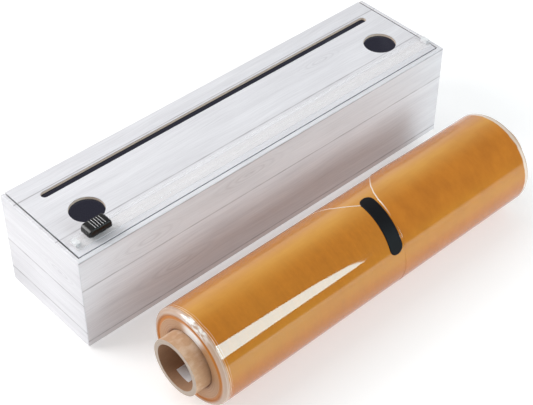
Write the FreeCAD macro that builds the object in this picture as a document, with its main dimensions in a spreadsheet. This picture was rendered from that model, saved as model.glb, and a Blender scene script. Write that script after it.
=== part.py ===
import FreeCAD, Part
import os
import re

import Sketcher

from FreeCAD import Vector

# Refillable cling film dispenser: a long board box with an inset hinged lid, a clear
# slide-cutter track on the lid, and the roll of film that the box holds.
# Lengths are in millimetres and angles in degrees.  X runs along the box, Y from the
# roll of film towards the box's hinged back, Z up.  The origin is the middle of the
# ground that the box and its roll cover.

DIMENSIONS = [
    # alias, value
    ("box_length", 350.0),
    ("box_width", 89.0),
    ("box_height", 81.0),
    ("paper", 0.3),
    ("side_board", 2.7),
    ("front_board", 3.3),
    ("base_board", 3.0),
    ("wrap_border", 15.0),
    ("ledge_board", 2.0),
    ("floor_paper", 0.4),
    ("foot_height", 1.5),
    ("foot_radius", 6.0),
    ("foot_inset_x", 20.0),
    ("foot_inset_y", 15.0),
    ("lid_board", 3.0),
    ("lid_side_gap", 0.7),
    ("lid_front_gap", 0.8),
    ("lid_seat_gap", 0.1),
    ("hinge_drop", 4.0),
    ("top_shift", 1.5),
    ("slot_length", 313.6),
    ("slot_width", 6.4),
    ("slot_place_y", 24.6),
    ("finger_radius", 12.7),
    ("finger_spacing", 283.0),
    ("finger_place_y", -6.6),
    ("track_place_y", -30.0),
    ("track_length", 339.2),
    ("tape_width", 10.0),
    ("tape_height", 0.3),
    ("track_half_width", 6.6),
    ("track_base", 1.1),
    ("track_height", 4.5),
    ("channel_half_width", 2.8),
    ("rail_half_width", 5.1),
    ("lip_half_gap", 1.6),
    ("lip_height", 1.0),
    ("rail_rounding_radius", 0.8),
    ("stop_length", 4.0),
    ("running_gap", 0.08),
    ("cutter_place_x", -148.8),
    ("cap_length", 18.4),
    ("cap_width", 11.0),
    ("cap_height", 5.3),
    ("cap_corner", 2.6),
    ("cap_edge", 1.2),
    ("rib_shift", 1.1),
    ("rib_length", 8.6),
    ("rib_width", 0.7),
    ("rib_height", 0.5),
    ("rib_pitch", 1.6),
    ("shuttle_length", 11.0),
    ("stem_length", 5.0),
    ("blade_length", 10.8),
    ("blade_top_length", 8.0),
    ("blade_height", 4.6),
    ("blade_thickness", 0.4),
    ("blade_bury", 2.0),
    ("lay_gap", 41.25),
    ("core_length", 322.0),
    ("core_bore_radius", 17.5),
    ("core_radius", 21.2),
    ("film_length", 299.0),
    ("film_radius", 36.45),
    ("film_shoulder", 3.2),
    ("tail_height", 0.3),
    ("tail_start_x", 17.0),
    ("tail_low_angle", -30.0),
    ("tail_high_angle", 150.0),
    ("label_place_x", 9.2),
    ("label_width", 11.6),
    ("label_low_angle", 22.0),
    ("label_high_angle", 98.0),
    ("label_height", 0.2),
    ("sticker_place_x", -149.6),
    ("sticker_width", 8.0),
    ("sticker_low_angle", 240.0),
    ("sticker_high_angle", 282.0),
    ("sticker_height", 0.15),
]
RIB_COUNT = 6
EDGE_MATCH = 0.01

# Levels above the underside of the box and half sizes, as expressions on the sheet.
HALF_LENGTH = "(box_length / 2)"
HALF_WIDTH = "(box_width / 2)"
BOARD_X = f"({HALF_LENGTH} - paper)"
INNER_X = f"({BOARD_X} - side_board)"
BOARD_Y = f"({HALF_WIDTH} - paper)"
INNER_FRONT = f"({BOARD_Y} - front_board)"
INNER_BACK = f"({BOARD_Y} - side_board)"
FLOOR_Z = "(paper + base_board)"
LINER_Z = f"({FLOOR_Z} + floor_paper)"
LID_Z = "(box_height - lid_board - 2 * paper)"
WALL_TOP_Z = f"({LID_Z} - lid_seat_gap)"
LID_X = f"({INNER_X} - paper - lid_side_gap)"
LID_FRONT = f"({INNER_FRONT} - paper - lid_front_gap)"
HINGE_LOW_Z = f"({WALL_TOP_Z} - hinge_drop)"
TRACK_Z = "(box_height + tape_height)"
CHANNEL_Z = f"({TRACK_Z} + track_base)"
LIP_Z = f"({TRACK_Z} + track_height - lip_height)"
RAIL_TOP_Z = f"({TRACK_Z} + track_height)"
CAP_Z = f"({RAIL_TOP_Z} + running_gap)"

TRACK_LEFT = "(top_shift - track_length / 2)"
TRACK_RIGHT = "(top_shift + track_length / 2)"

# Where the box and the roll stand.
BOX_PLACE = ("0", "((lay_gap + tail_height) / 2 + film_radius)", "foot_height")
ROLL_PLACE = ("0", "(-(box_width + lay_gap - tail_height) / 2)", "film_radius")

doc = FreeCAD.newDocument("cling_film_dispenser")
sheet = doc.addObject("Spreadsheet::Sheet", "Dimensions")
for row, (alias, value) in enumerate(DIMENSIONS, start=1):
    sheet.set(f"A{row}", alias)
    sheet.set(f"B{row}", str(value))
    sheet.setAlias(f"B{row}", alias)
doc.recompute()

ALIASES = "|".join(alias for alias, value in DIMENSIONS)
pieces = []
probe = doc.addObject("App::FeaturePython", "Probe")
probe.addProperty("App::PropertyPlacement", "Placement")


def linked(text):
    """An expression with each dimension's name turned into a link to the sheet."""
    return re.sub(rf"\b({ALIASES})\b", r"Dimensions.\1", text)


def bind(thing, prop, text):
    thing.setExpression(prop, linked(text))


def value_of(text):
    """The number that an expression on the sheet's dimensions comes to."""
    bind(probe, "Placement.Base.x", text)
    probe.recompute()
    return probe.Placement.Base.x


def place(thing, corner):
    for axis, text in zip("xyz", corner):
        bind(thing, f"Placement.Base.{axis}", text)


def keep(thing, label):
    """Names a finished piece, which gets a file of its own."""
    thing.Label = label
    pieces.append(thing)


def span(middle, half):
    """The two limits of a range from its middle and half its width."""
    return f"{middle} - ({half})", f"{middle} + ({half})"


def block(name, x_range, y_range, z_range, corner=("0", "0", "0")):
    """A box between three pairs of limits, in the frame that stands at corner."""
    box = doc.addObject("Part::Box", name)
    ranges = (x_range, y_range, z_range)
    for prop, (low, high) in zip(("Length", "Width", "Height"), ranges):
        bind(box, prop, f"({high}) - ({low})")
    place(box, [f"{start} + {low}" for start, (low, high) in zip(corner, ranges)])
    return box


def board(name, x_range, y_range, z_range):
    """A plain rectangular board, sheet or strip of the box."""
    keep(block(name, x_range, y_range, z_range, BOX_PLACE), name)


def boolean(kind, name, base, tool, corner=("0", "0", "0")):
    result = doc.addObject(kind, name)
    result.Base = base
    result.Tool = tool
    place(result, corner)
    return result


def joined(name, shapes):
    result = doc.addObject("Part::MultiFuse", name)
    result.Shapes = shapes
    return result


def new_body(name, corner):
    body = doc.addObject("PartDesign::Body", name)
    place(body, corner)
    keep(body, name)
    return body


def origin_part(body, role):
    return next(feature for feature in body.Origin.OriginFeatures if feature.Role == role)


def new_sketch(body, name, plane, lift):
    """An empty sketch on one of the body's own planes, lifted off it along its normal."""
    sketch = body.newObject("Sketcher::SketchObject", name)
    sketch.AttachmentSupport = [(origin_part(body, plane), "")]
    sketch.MapMode = "FlatFace"
    bind(sketch, "AttachmentOffset.Base.z", lift)
    return sketch


def polygon(body, name, plane, corners, lift="0"):
    """A sketch of a closed outline whose corners are each bound to the sheet."""
    sketch = new_sketch(body, name, plane, lift)
    points = [Vector(value_of(across), value_of(up), 0) for across, up in corners]
    for start, end in zip(points, points[1:] + points[:1]):
        sketch.addGeometry(Part.LineSegment(start, end), False)
    for index in range(len(points)):
        following = (index + 1) % len(points)
        sketch.addConstraint(Sketcher.Constraint("Coincident", index, 2, following, 1))
    for index, corner in enumerate(corners):
        for kind, text in zip(("DistanceX", "DistanceY"), corner):
            number = sketch.addConstraint(Sketcher.Constraint(kind, -1, 1, index, 1, value_of(text)))
            bind(sketch, f"Constraints[{number}]", text)
    return sketch


def rectangle(body, name, plane, x_range, y_range, lift="0"):
    (left, right), (low, high) = x_range, y_range
    corners = [(left, low), (right, low), (right, high), (left, high)]
    return polygon(body, name, plane, corners, lift)


def pad(body, name, profile, length, midplane=False):
    feature = body.newObject("PartDesign::Pad", name)
    feature.Profile = profile
    feature.Midplane = midplane
    bind(feature, "Length", length)
    return feature


def fillet(body, name, feature, radius, chosen):
    """Rounds the edges of the body so far that the chosen test picks."""
    doc.recompute()
    edges = enumerate(feature.Shape.Edges, start=1)
    names = [f"Edge{number}" for number, edge in edges if chosen(edge)]
    rounding = body.newObject("PartDesign::Fillet", name)
    rounding.Base = (feature, names)
    bind(rounding, "Radius", radius)
    return rounding


def arc_shell(name, x_range, inner, outer, low_angle, high_angle):
    """A thin shell about the roll's axis; angles count from the front, over the top."""
    turn = f"rotation(vector(0; 1; 0); 90) * rotation(vector(0; 0; 1); 270 - ({high_angle}))"
    drums = []
    for part, radius, low, high in (("outer", outer, *x_range), ("inner", inner, *x_range)):
        drum = doc.addObject("Part::Cylinder", f"{name}_{part}")
        bind(drum, "Radius", radius)
        bind(drum, "Height", f"({high}) - ({low})")
        bind(drum, "Placement", f"placement(vector({low}; 0; 0); {turn})")
        drums.append(drum)
    bind(drums[0], "Angle", f"({high_angle}) - ({low_angle})")
    keep(boolean("Part::Cut", name, drums[0], drums[1], ROLL_PLACE), name)


def make_walls():
    """The box's greyboard: the front runs full length and the ends close the back wall in."""
    whole_x, inner_x = span("0", BOARD_X), span("0", INNER_X)
    rim_z = "box_height - paper"
    board("base_board", inner_x, (f"-{INNER_FRONT}", INNER_BACK), ("paper", FLOOR_Z))
    board("front_wall", whole_x, (f"-{BOARD_Y}", f"-{INNER_FRONT}"), ("paper", rim_z))
    board("back_wall", inner_x, (INNER_BACK, BOARD_Y), ("paper", WALL_TOP_Z))
    end_y = (f"-{INNER_FRONT}", BOARD_Y)
    board("left_end_wall", (f"-{BOARD_X}", f"-{INNER_X}"), end_y, ("paper", rim_z))
    board("right_end_wall", (INNER_X, BOARD_X), end_y, ("paper", rim_z))


def make_liners():
    """The charcoal card inside; its top edges are the ledge that the lid sits on."""
    inner_x = span("0", INNER_X)
    ledge_z = (LINER_Z, WALL_TOP_Z)
    front_y, back_y = f"-{INNER_FRONT} + ledge_board", f"{INNER_BACK} - ledge_board"
    ledge_x = f"{INNER_X} - ledge_board"
    board("liner_floor", inner_x, (f"-{INNER_FRONT}", INNER_BACK), (FLOOR_Z, LINER_Z))
    board("liner_front", inner_x, (f"-{INNER_FRONT}", front_y), ledge_z)
    board("liner_back", inner_x, (back_y, INNER_BACK), ledge_z)
    board("liner_left", (f"-{INNER_X}", f"-({ledge_x})"), (front_y, back_y), ledge_z)
    board("liner_right", (ledge_x, INNER_X), (front_y, back_y), ledge_z)


def make_box_wrap():
    """The printed paper: over the outside and the rims, and turned in below and at the lid's pocket."""
    pocket_y = (f"-({INNER_FRONT} - paper)", HALF_WIDTH)
    hinge_y = (BOARD_Y, HALF_WIDTH)
    rim_z = (WALL_TOP_Z, "box_height - paper")
    end_y = (f"-{INNER_FRONT}", BOARD_Y)
    border_x, border_y = f"{HALF_LENGTH} - wrap_border", f"{HALF_WIDTH} - wrap_border"
    hollows = [
        block("wrap_wall_room", span("0", BOARD_X), span("0", BOARD_Y), ("paper", WALL_TOP_Z)),
        block("wrap_front_rim", span("0", BOARD_X), (f"-{BOARD_Y}", f"-{INNER_FRONT}"), rim_z),
        block("wrap_left_rim", (f"-{BOARD_X}", f"-{INNER_X}"), end_y, rim_z),
        block("wrap_right_rim", (INNER_X, BOARD_X), end_y, rim_z),
        block("wrap_lid_pocket", span("0", f"{INNER_X} - paper"), pocket_y, (WALL_TOP_Z, "box_height")),
        block("wrap_hinge_gap", span("0", f"{LID_X} - paper"), hinge_y, (HINGE_LOW_Z, WALL_TOP_Z)),
        block("wrap_base_window", span("0", border_x), span("0", border_y), ("0", "paper")),
    ]
    outside = block("wrap_outside", span("0", HALF_LENGTH), span("0", HALF_WIDTH), ("0", "box_height"))
    keep(boolean("Part::Cut", "box_wrap", outside, joined("wrap_hollows", hollows), BOX_PLACE), "box_wrap")
    board("base_paper", span("0", border_x), span("0", border_y), ("0", "paper"))


def make_feet():
    """Four thin rubber pads, narrower at the ground."""
    feet = []
    for side in (-1, 1):
        for end in (-1, 1):
            foot = doc.addObject("Part::Cone", "foot")
            bind(foot, "Radius1", "foot_radius - foot_height / 2")
            bind(foot, "Radius2", "foot_radius")
            bind(foot, "Height", "foot_height")
            corner_x = f"{end} * ({HALF_LENGTH} - foot_inset_x)"
            corner_y = f"{side} * ({HALF_WIDTH} - foot_inset_y)"
            place(foot, (corner_x, corner_y, "-foot_height"))
            feet.append(foot)
    group = doc.addObject("Part::Compound", "rubber_feet")
    group.Links = feet
    place(group, BOX_PLACE)
    keep(group, "rubber_feet")


def make_lid_openings():
    """The film slot with round ends and the two finger holes, as tools that pass right through."""
    through_z = (f"{LID_Z} - paper", "box_height + paper")
    end_radius = "(slot_width / 2)"
    half_run = f"(slot_length / 2 - {end_radius})"
    rounds = [("slot", "slot_place_y", end_radius, half_run)]
    rounds.append(("finger", "finger_place_y", "finger_radius", "(finger_spacing / 2)"))
    tools = [block("slot_run", span("top_shift", half_run), span("slot_place_y", end_radius), through_z)]
    for label, y_place, radius, reach in rounds:
        for end in (-1, 1):
            tool = doc.addObject("Part::Cylinder", f"{label}_end")
            bind(tool, "Radius", radius)
            bind(tool, "Height", f"{through_z[1]} - ({through_z[0]})")
            place(tool, (f"top_shift + {end} * {reach}", y_place, through_z[0]))
            tools.append(tool)
    return joined("lid_openings", tools)


def make_lid():
    """The lid's board between its printed cover and its charcoal lining, on a paper hinge."""
    openings = make_lid_openings()
    board_x, board_y = span("0", f"{LID_X} - paper"), (f"-({LID_FRONT} - paper)", BOARD_Y)
    low_z, high_z = f"{LID_Z} + paper", "box_height - paper"
    for name, z_range in (("lid_board", (low_z, high_z)), ("lid_lining", (LID_Z, low_z))):
        plain = block(f"{name}_blank", board_x, board_y, z_range)
        keep(boolean("Part::Cut", name, plain, openings, BOX_PLACE), name)
    whole = block("cover_blank", span("0", LID_X), (f"-{LID_FRONT}", HALF_WIDTH), (LID_Z, "box_height"))
    room = block("cover_room", board_x, (board_y[0], HALF_WIDTH), (LID_Z, high_z))
    tray = boolean("Part::Cut", "cover_tray", whole, room)
    keep(boolean("Part::Cut", "lid_cover", tray, openings, BOX_PLACE), "lid_cover")
    board("hinge_paper", board_x, (BOARD_Y, HALF_WIDTH), (HINGE_LOW_Z, high_z))


def make_track():
    """The clear track: a base, two rails with inward lips, a tape below and a plug in each end."""
    tape_y = span("track_place_y", "tape_width / 2")
    board("track_tape", (TRACK_LEFT, TRACK_RIGHT), tape_y, ("box_height", TRACK_Z))
    right_half = [
        ("track_half_width", TRACK_Z),
        ("track_half_width", CHANNEL_Z),
        ("rail_half_width", CHANNEL_Z),
        ("rail_half_width", RAIL_TOP_Z),
        ("lip_half_gap", RAIL_TOP_Z),
        ("lip_half_gap", LIP_Z),
        ("channel_half_width", LIP_Z),
        ("channel_half_width", CHANNEL_Z),
    ]
    left_half = [(f"-{reach}", level) for reach, level in reversed(right_half)]
    corners = [(f"track_place_y + {reach}", level) for reach, level in right_half + left_half]
    body = new_body("cutter_track", BOX_PLACE)
    profile = polygon(body, "track_profile", "YZ_Plane", corners, TRACK_LEFT)
    rails = pad(body, "track_run", profile, "track_length")
    outer_edge = value_of("rail_half_width")
    middle = value_of("track_place_y")
    top = value_of(RAIL_TOP_Z)

    def on_outer_top(edge):
        box = edge.BoundBox
        level = abs(box.ZMin - top) < EDGE_MATCH and abs(box.ZMax - top) < EDGE_MATCH
        along = box.XLength > 1 / EDGE_MATCH
        return level and along and abs(abs(box.YMin - middle) - outer_edge) < EDGE_MATCH

    fillet(body, "rail_rounding", rails, "rail_rounding_radius", on_outer_top)
    channel_y = span("track_place_y", "channel_half_width")
    channel_z = (CHANNEL_Z, LIP_Z)
    board("track_stop_left", (TRACK_LEFT, f"{TRACK_LEFT} + stop_length"), channel_y, channel_z)
    board("track_stop_right", (f"{TRACK_RIGHT} - stop_length", TRACK_RIGHT), channel_y, channel_z)


def make_cap():
    """The black thumb piece: rounded all round, ribbed on top, with a pocket for the blade below."""
    body = new_body("slider_cap", BOX_PLACE)
    cap_x, cap_y = span("cutter_place_x", "cap_length / 2"), span("track_place_y", "cap_width / 2")
    outline = rectangle(body, "cap_outline", "XY_Plane", cap_x, cap_y, CAP_Z)
    base = pad(body, "cap_base", outline, "cap_height")
    top = value_of(f"{CAP_Z} + cap_height")

    def upright(edge):
        return edge.BoundBox.ZLength > EDGE_MATCH

    def on_top(edge):
        return edge.BoundBox.ZMin > top - EDGE_MATCH

    corners = fillet(body, "cap_corners", base, "cap_corner", upright)
    rounded = fillet(body, "cap_edges", corners, "cap_edge", on_top)
    doc.recompute()
    first_x = f"cutter_place_x + rib_shift - {RIB_COUNT - 1} * rib_pitch / 2"
    rib_x, rib_y = span(first_x, "rib_width / 2"), span("track_place_y", "rib_length / 2")
    rib_profile = rectangle(body, "rib_outline", "XY_Plane", rib_x, rib_y, f"{CAP_Z} + cap_height")
    rib = pad(body, "rib", rib_profile, "rib_height")
    ribs = body.newObject("PartDesign::LinearPattern", "ribs")
    ribs.Originals = [rib]
    ribs.Direction = (origin_part(body, "X_Axis"), [""])
    ribs.Occurrences = RIB_COUNT
    bind(ribs, "Length", f"{RIB_COUNT - 1} * rib_pitch")
    body.Tip = ribs
    doc.recompute()
    blade_x = span("cutter_place_x", "blade_length / 2 - (blade_length - blade_top_length) / 4")
    blade_y = span("track_place_y", "blade_thickness / 2")
    pocket = body.newObject("PartDesign::Pocket", "blade_pocket")
    pocket.Profile = rectangle(body, "pocket_outline", "XY_Plane", blade_x, blade_y, CAP_Z)
    pocket.Reversed = True
    bind(pocket, "Length", "blade_bury")
    body.Tip = pocket
    doc.recompute()
    if pocket.Shape.Volume >= ribs.Shape.Volume:
        raise RuntimeError("the blade's pocket cut nothing")
    if rounded.Shape.Volume >= base.Shape.Volume:
        raise RuntimeError("the cap was not rounded")


def make_shuttle_and_blade():
    """The foot that runs in the channel, its stem up to the cap, and the steel blade it holds."""
    blade_top = f"({CAP_Z} + blade_bury)"
    blade_low = f"({blade_top} - blade_height)"
    shuttle_x = span("cutter_place_x", "shuttle_length / 2")
    stem_x = span("cutter_place_x", "stem_length / 2")
    shuttle_y = span("track_place_y", "channel_half_width - running_gap")
    stem_y = span("track_place_y", "lip_half_gap - running_gap")
    neck_z = f"{LIP_Z} - running_gap"
    shuttle = block("shuttle", shuttle_x, shuttle_y, (f"{CHANNEL_Z} + running_gap", neck_z))
    stem = block("stem", stem_x, stem_y, (neck_z, CAP_Z))
    slit = block("blade_slit", shuttle_x, span("track_place_y", "blade_thickness / 2"), (blade_low, CAP_Z))
    whole = joined("shuttle_whole", [shuttle, stem])
    keep(boolean("Part::Cut", "slider_foot", whole, slit, BOX_PLACE), "slider_foot")
    body = new_body("cutter_blade", BOX_PLACE)
    low_x = span("cutter_place_x", "blade_length / 2")
    high_x = span("cutter_place_x", "blade_top_length / 2")
    corners = [(low_x[0], blade_low), (low_x[1], blade_low), (high_x[1], blade_top), (high_x[0], blade_top)]
    profile = polygon(body, "blade_profile", "XZ_Plane", corners, "-track_place_y")
    pad(body, "blade_plate", profile, "blade_thickness", midplane=True)


def make_roll():
    """The card core, the wound film with round shoulders, its loose last turn and the labels."""
    core = new_body("core_tube", ROLL_PLACE)
    ring = new_sketch(core, "core_ring", "YZ_Plane", "0")
    for index, radius in enumerate(("core_radius", "core_bore_radius")):
        ring.addGeometry(Part.Circle(Vector(0, 0, 0), Vector(0, 0, 1), value_of(radius)), False)
        ring.addConstraint(Sketcher.Constraint("Coincident", index, 3, -1, 1))
        number = ring.addConstraint(Sketcher.Constraint("Radius", index, value_of(radius)))
        bind(ring, f"Constraints[{number}]", radius)
    pad(core, "core_run", ring, "core_length", midplane=True)

    film = new_body("wound_film", ROLL_PLACE)
    film_x = span("0", "film_length / 2")
    section = rectangle(film, "film_section", "XY_Plane", film_x, ("core_radius", "film_radius"))
    wound = film.newObject("PartDesign::Revolution", "film_turns")
    wound.Profile = section
    wound.ReferenceAxis = (origin_part(film, "X_Axis"), [""])
    radius = value_of("film_radius")
    fillet(film, "film_shoulders", wound, "film_shoulder", lambda edge: is_circle(edge, radius))

    tail_x = ("tail_start_x", "film_length / 2 - film_shoulder")
    tail_angles = ("tail_low_angle", "tail_high_angle")
    arc_shell("film_tail", tail_x, "film_radius", "film_radius + tail_height", *tail_angles)
    label_x = span("label_place_x", "label_width / 2")
    label_angles = ("label_low_angle", "label_high_angle")
    arc_shell("start_label", label_x, "film_radius", "film_radius + label_height", *label_angles)
    sticker_x = span("sticker_place_x", "sticker_width / 2")
    sticker_angles = ("sticker_low_angle", "sticker_high_angle")
    bore_skin = "core_bore_radius - sticker_height"
    arc_shell("core_sticker", sticker_x, bore_skin, "core_bore_radius", *sticker_angles)


def is_circle(edge, radius):
    return edge.Curve.TypeId == "Part::GeomCircle" and abs(edge.Curve.Radius - radius) < EDGE_MATCH


def check_and_write():
    """Stops at any failed object or bad shape, and then writes each piece to its own file."""
    doc.recompute()
    for thing in doc.Objects:
        if {"Invalid", "Error"} & set(thing.State):
            raise RuntimeError(f"{thing.Label} failed: {thing.State}")
    for piece in pieces:
        if piece.Shape.isNull() or not piece.Shape.isValid() or not piece.Shape.Solids:
            raise RuntimeError(f"{piece.Label} has no valid solid")
    os.makedirs("parts", exist_ok=True)
    for piece in pieces:
        piece.Shape.exportStep(f"parts/{piece.Label}.step")
        box = piece.Shape.BoundBox
        low, high = (box.XMin, box.YMin, box.ZMin), (box.XMax, box.YMax, box.ZMax)
        sizes = " ".join(f"{a:.2f}..{b:.2f}" for a, b in zip(low, high))
        print(f"{piece.Label}: {len(piece.Shape.Solids)} solid, {piece.Shape.Volume:.1f} mm3, {sizes}")


make_walls()
make_liners()
make_box_wrap()
make_feet()
make_lid()
make_track()
make_cap()
make_shuttle_and_blade()
make_roll()
doc.removeObject(probe.Name)
check_and_write()
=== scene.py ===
"""Looks of the cling film dispenser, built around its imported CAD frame."""

import math

import bmesh
import bpy
from mathutils import Matrix, Vector, noise


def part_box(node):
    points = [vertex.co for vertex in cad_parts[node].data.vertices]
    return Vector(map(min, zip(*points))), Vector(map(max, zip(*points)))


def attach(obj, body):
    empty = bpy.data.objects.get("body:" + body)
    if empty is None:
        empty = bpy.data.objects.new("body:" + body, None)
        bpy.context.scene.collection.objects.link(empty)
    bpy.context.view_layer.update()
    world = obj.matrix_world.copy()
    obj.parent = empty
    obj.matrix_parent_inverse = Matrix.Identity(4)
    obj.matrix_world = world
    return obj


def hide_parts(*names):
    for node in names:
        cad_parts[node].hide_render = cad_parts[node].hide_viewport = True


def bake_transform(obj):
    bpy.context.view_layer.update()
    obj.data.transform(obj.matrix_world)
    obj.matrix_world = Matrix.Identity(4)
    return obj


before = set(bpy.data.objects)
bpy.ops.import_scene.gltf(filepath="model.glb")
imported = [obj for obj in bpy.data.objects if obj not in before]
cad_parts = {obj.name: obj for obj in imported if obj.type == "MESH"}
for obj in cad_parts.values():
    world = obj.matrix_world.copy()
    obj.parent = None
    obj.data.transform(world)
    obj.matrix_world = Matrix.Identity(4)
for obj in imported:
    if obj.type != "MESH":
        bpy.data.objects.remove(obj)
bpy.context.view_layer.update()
MM = 0.001

wrap_low, wrap_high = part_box("box_wrap")
core_low, core_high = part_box("core_tube")
film_low, film_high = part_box("wound_film")
cap_low, cap_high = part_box("slider_cap")
track_low, track_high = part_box("cutter_track")
# The underside of the box below its middle, and the middle of the roll's axis.
BOX = Vector(((wrap_low.x + wrap_high.x) / 2, (wrap_low.y + wrap_high.y) / 2, wrap_low.z))
ROLL = (core_low + core_high) / 2
wrap_size = wrap_high - wrap_low
HALF_X, HALF_Y = (wrap_size / MM / 2).xy
TOP = wrap_size.z / MM
FILM_R = (film_high - film_low).z / MM / 2
BORE_R = 17.5
# Heights on the box's paper where the hinge strip and the lid's pocket begin, and half the strip's length.
HINGE_LOW, RIM, HINGE_HALF = 73.3, 77.3, 170.7
SHEET_THICKNESS = 0.3


# ---------------------------------------------------------------- materials


class Shader:
    """A material's node tree with short ways to add to it."""

    def __init__(self, name):
        self.material = bpy.data.materials.new(name)
        self.material.use_nodes = True
        self.nodes = self.material.node_tree.nodes
        self.links = self.material.node_tree.links
        self.nodes.clear()

    def put(self, value, socket):
        if isinstance(value, bpy.types.NodeSocket):
            self.links.new(value, socket)
        elif isinstance(value, (tuple, list)) and socket.type == "RGBA" and len(value) == 3:
            socket.default_value = (*value, 1.0)
        else:
            socket.default_value = value

    def add(self, kind, inputs=(), output=0, **settings):
        node = self.nodes.new("ShaderNode" + kind)
        for key, value in settings.items():
            setattr(node, key, value)
        for key, value in dict(inputs).items():
            self.put(value, node.inputs[key])
        return node.outputs[output]

    def calc(self, operation, *values):
        return self.add("Math", dict(enumerate(values)), operation=operation)

    def product(self, *factors):
        result = factors[0]
        for factor in factors[1:]:
            result = self.calc("MULTIPLY", result, factor)
        return result

    def offset(self, value, middle, width):
        """How many widths a value lies from a middle."""
        return self.calc("DIVIDE", self.calc("SUBTRACT", value, middle), width)

    def bell(self, off):
        """1 where there is no offset, falling away smoothly on both sides."""
        return self.calc("EXPONENT", self.product(off, off, -1.0))

    def plateau(self, off):
        """Like bell, but with a flat top and steep sides."""
        fourth = self.calc("POWER", self.calc("ABSOLUTE", off), 4.0)
        return self.calc("EXPONENT", self.product(fourth, -1.0))

    def point(self, x, y=0.0, z=0.0):
        return self.add("CombineXYZ", {0: x, 1: y, 2: z})

    def ramp(self, factor, *stops):
        out = self.add("ValToRGB", {0: factor})
        elements = out.node.color_ramp.elements
        while len(elements) < len(stops):
            elements.new(0.5)
        for element, (position, colour) in zip(elements, stops):
            element.position = position
            if not isinstance(colour, tuple):
                colour = (colour,) * 3
            element.color = (*colour, 1.0)
        return out

    def mix(self, factor, a, b, blend="MIX"):
        node = self.add("Mix", data_type="RGBA", blend_type=blend).node
        self.put(factor, node.inputs[0])
        self.put(a, node.inputs[6])
        self.put(b, node.inputs[7])
        return node.outputs[2]

    def noise(self, vector, scale=1.0, detail=3.0, roughness=0.5):
        inputs = {"Vector": vector, "Scale": scale, "Detail": detail, "Roughness": roughness}
        return self.add("TexNoise", inputs)

    def place(self, scale):
        """The position on the piece in millimetres, stretched by a scale for each axis."""
        spot = self.add("TexCoord", output="Object")
        return self.stretch(spot, [s / MM for s in scale])

    def stretch(self, vector, scale):
        return self.add("VectorMath", {0: vector, 1: tuple(scale)}, operation="MULTIPLY")

    def bump(self, height, distance, strength=1.0):
        return self.add("Bump", {"Height": height, "Distance": distance * MM, "Strength": strength})

    def finish(self, colour, roughness, **inputs):
        named = {key.replace("_", " "): value for key, value in inputs.items()}
        surface = self.add("BsdfPrincipled", {"Base Color": colour, "Roughness": roughness, **named})
        self.links.new(surface, self.nodes.new("ShaderNodeOutputMaterial").inputs[0])
        return self.material


# Where the dark joints between printed planks lie, in mm over the front, the top and the back.
PLANK_LINES = (29.4, -18.8, -45.3, -71.3, -120.3, 78.0, 126.5)
# The same on the ends, which have a sheet of their own that starts at END_SHEET.
END_SHEET = 1000.0
END_LINES = (40.3, 13.5)
# Each knot's place along and across the sheet, and its half length and half width.
KNOTS = (
    (-118.0, -60.0, 22.0, 6.0),
    (-28.0, -55.0, 26.0, 5.0),
    (-95.0, -98.0, 30.0, 6.0),
    (92.0, 8.0, 16.0, 4.0),
    (60.0, 100.0, 26.0, 6.0),
    (-20.0, END_SHEET + 55.0, 14.0, 4.0),
)


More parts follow.
